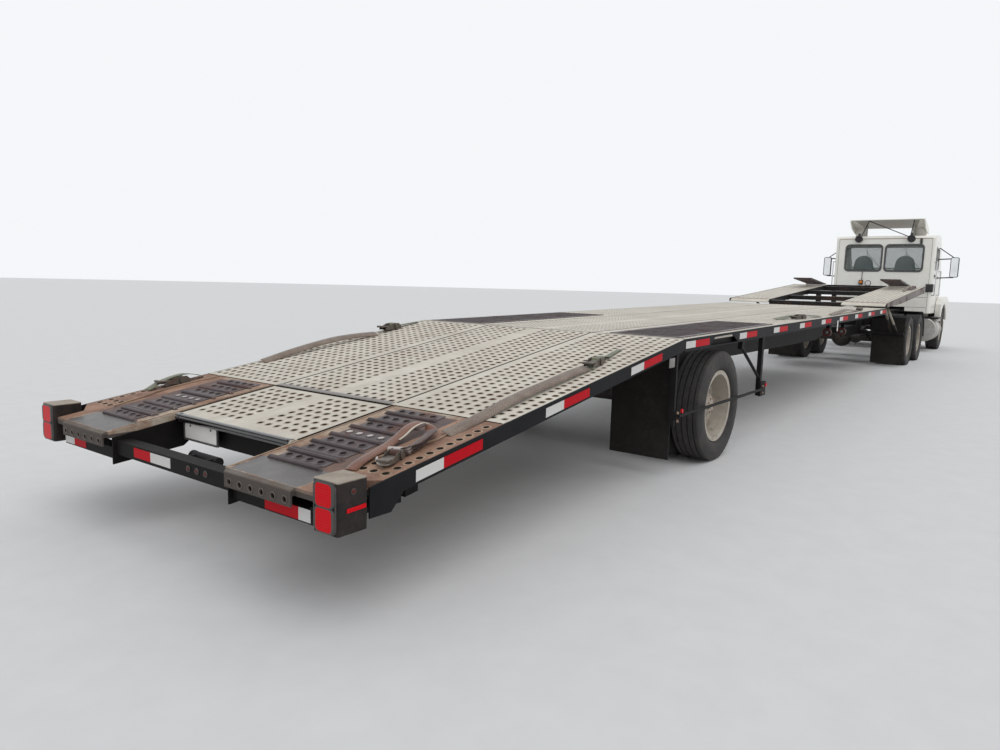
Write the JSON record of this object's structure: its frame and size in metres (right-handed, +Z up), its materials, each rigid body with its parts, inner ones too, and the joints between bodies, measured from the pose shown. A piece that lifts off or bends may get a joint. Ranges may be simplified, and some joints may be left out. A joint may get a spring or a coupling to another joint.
{
  "type": "car transporter truck",
  "caption": "Articulated car transporter: a conventional tractor with a short car deck, and a low perforated-deck trailer hinged on a stinger hitch behind the drive axles.",
  "frame": {"origin": "on the ground, midway along the whole vehicle and on its centreline, with trailer and tractor in line", "axes": "+X forward towards the front bumper, +Y to the driver's left, +Z up"},
  "size_m": [21, 3.06, 3.1649],
  "materials": {
    "deck_steel": "worn pale grey-beige perforated plate",
    "frame_black": "worn black paint with rust",
    "track_brown": "rusty brown-grey plate",
    "cab_white": "off-white gloss paint, dusty",
    "window_glass": "tinted clear glass",
    "tyre_rubber": "matte black rubber, dusty",
    "rim_beige": "dirty beige paint",
    "red_lens": "red lens",
    "clear_lens": "clear lens",
    "flap_rubber": "matte black rubber sheet",
    "chassis_grey": "dark grey paint, oily",
    "axle_steel": "dark cast steel",
    "tank_metal": "brushed aluminium, dusty",
    "trim_black": "matte black plastic",
    "seat_cloth": "dark grey cloth",
    "chrome_trim": "polished chrome"
  },
  "bodies": {
    "tractor": {"tractor_frame": "frame_black", "tractor_deck_frame": "frame_black", "tractor_tracks": "deck_steel", "cab_shell": "cab_white", "cab_glass": "window_glass", "roof_deflector": "cab_white", "work_lamps": "trim_black", "seats": "seat_cloth", "dashboard": "trim_black", "engine": "chassis_grey", "radiator": "chassis_grey", "fuel_tanks": "tank_metal", "quarter_fenders": "trim_black", "drive_mud_flaps": "flap_rubber", "front_axle": "axle_steel", "drive_axles": "axle_steel", "front_bumper": "chrome_trim"},
    "trailer": {"trailer_frame": "frame_black", "trailer_deck": "deck_steel", "traction_grates": "track_brown", "rear_tracks": "deck_steel", "centre_panel": "deck_steel", "lamp_boxes": "frame_black", "tail_lamps": "red_lens", "trailer_axle": "axle_steel", "trailer_mud_flaps": "flap_rubber", "wheel_guards": "frame_black"},
    "hood": {"hood": "cab_white", "grille": "chrome_trim", "headlamps": "clear_lens"},
    "door_left": {"door_left": "cab_white", "door_glass_left": "window_glass", "mirror_left": "chrome_trim"},
    "flip_plate_left": {"flip_plate_left": "track_brown"},
    "knuckle_left": {"knuckle_left": "axle_steel"},
    "steer_wheel_left": {"steer_wheel_left_tyre": "tyre_rubber", "steer_wheel_left_rim": "rim_beige"},
    "drive_wheel_rear_left": {"drive_wheel_rear_left_tyres": "tyre_rubber", "drive_wheel_rear_left_rims": "rim_beige"},
    "drive_wheel_front_left": {"drive_wheel_front_left_tyres": "tyre_rubber", "drive_wheel_front_left_rims": "rim_beige"},
    "trailer_wheel_left": {"trailer_wheel_left_tyres": "tyre_rubber", "trailer_wheel_left_rims": "rim_beige"},
    "door_right": {"door_right": "cab_white", "door_glass_right": "window_glass", "mirror_right": "chrome_trim"},
    "flip_plate_right": {"flip_plate_right": "track_brown"},
    "knuckle_right": {"knuckle_right": "axle_steel"},
    "steer_wheel_right": {"steer_wheel_right_tyre": "tyre_rubber", "steer_wheel_right_rim": "rim_beige"},
    "drive_wheel_rear_right": {"drive_wheel_rear_right_tyres": "tyre_rubber", "drive_wheel_rear_right_rims": "rim_beige"},
    "drive_wheel_front_right": {"drive_wheel_front_right_tyres": "tyre_rubber", "drive_wheel_front_right_rims": "rim_beige"},
    "trailer_wheel_right": {"trailer_wheel_right_tyres": "tyre_rubber", "trailer_wheel_right_rims": "rim_beige"}
  },
  "joints": [
    {"name": "articulation", "type": "hinge", "parent": "tractor", "child": "trailer", "pos_m": [1.95, 0, 0.84], "axis": [0, 0, 1], "range_deg": [-60, 60]},
    {"name": "hood_tilt", "type": "hinge", "parent": "tractor", "child": "hood", "pos_m": [10.44, 0, 0.7], "axis": [0, 1, 0], "range_deg": [0, 60]},
    {"name": "door_left_hinge", "type": "hinge", "parent": "tractor", "child": "door_left", "pos_m": [8.695, 1.1, 1.7], "axis": [0, 0, -1], "range_deg": [0, 70]},
    {"name": "flip_plate_left_hinge", "type": "hinge", "parent": "tractor", "child": "flip_plate_left", "pos_m": [5.04, 0.825, 1.55776], "axis": [0, 1, 0], "range_deg": [-9, 35]},
    {"name": "steering_left", "type": "hinge", "parent": "tractor", "child": "knuckle_left", "pos_m": [9.4, 0.92, 0.5], "axis": [0, 0, 1], "range_deg": [-35, 35]},
    {"name": "steer_wheel_left_spin", "type": "hinge", "parent": "knuckle_left", "child": "steer_wheel_left", "pos_m": [9.4, 1.06, 0.5], "axis": [0, 1, 0], "continuous": true},
    {"name": "drive_wheel_rear_left_spin", "type": "hinge", "parent": "tractor", "child": "drive_wheel_rear_left", "pos_m": [4.05, 0.9475, 0.48], "axis": [0, 1, 0], "continuous": true},
    {"name": "drive_wheel_front_left_spin", "type": "hinge", "parent": "tractor", "child": "drive_wheel_front_left", "pos_m": [5.37, 0.9475, 0.48], "axis": [0, 1, 0], "continuous": true},
    {"name": "trailer_wheel_left_spin", "type": "hinge", "parent": "trailer", "child": "trailer_wheel_left", "pos_m": [-6.4, 1.015, 0.457], "axis": [0, 1, 0], "continuous": true},
    {"name": "door_right_hinge", "type": "hinge", "parent": "tractor", "child": "door_right", "pos_m": [8.695, -1.1, 1.7], "axis": [0, 0, 1], "range_deg": [0, 70]},
    {"name": "flip_plate_right_hinge", "type": "hinge", "parent": "tractor", "child": "flip_plate_right", "pos_m": [5.04, -0.825, 1.55776], "axis": [0, 1, 0], "range_deg": [-9, 35]},
    {"name": "steering_right", "type": "hinge", "parent": "tractor", "child": "knuckle_right", "pos_m": [9.4, -0.92, 0.5], "axis": [0, 0, 1], "range_deg": [-35, 35]},
    {"name": "steer_wheel_right_spin", "type": "hinge", "parent": "knuckle_right", "child": "steer_wheel_right", "pos_m": [9.4, -1.06, 0.5], "axis": [0, 1, 0], "continuous": true},
    {"name": "drive_wheel_rear_right_spin", "type": "hinge", "parent": "tractor", "child": "drive_wheel_rear_right", "pos_m": [4.05, -0.9475, 0.48], "axis": [0, 1, 0], "continuous": true},
    {"name": "drive_wheel_front_right_spin", "type": "hinge", "parent": "tractor", "child": "drive_wheel_front_right", "pos_m": [5.37, -0.9475, 0.48], "axis": [0, 1, 0], "continuous": true},
    {"name": "trailer_wheel_right_spin", "type": "hinge", "parent": "trailer", "child": "trailer_wheel_right", "pos_m": [-6.4, -1.015, 0.457], "axis": [0, 1, 0], "continuous": true}
  ],
  "couplings": [
    {"joint": "steering_right", "follows": "steering_left", "ratio": 1}
  ]
}
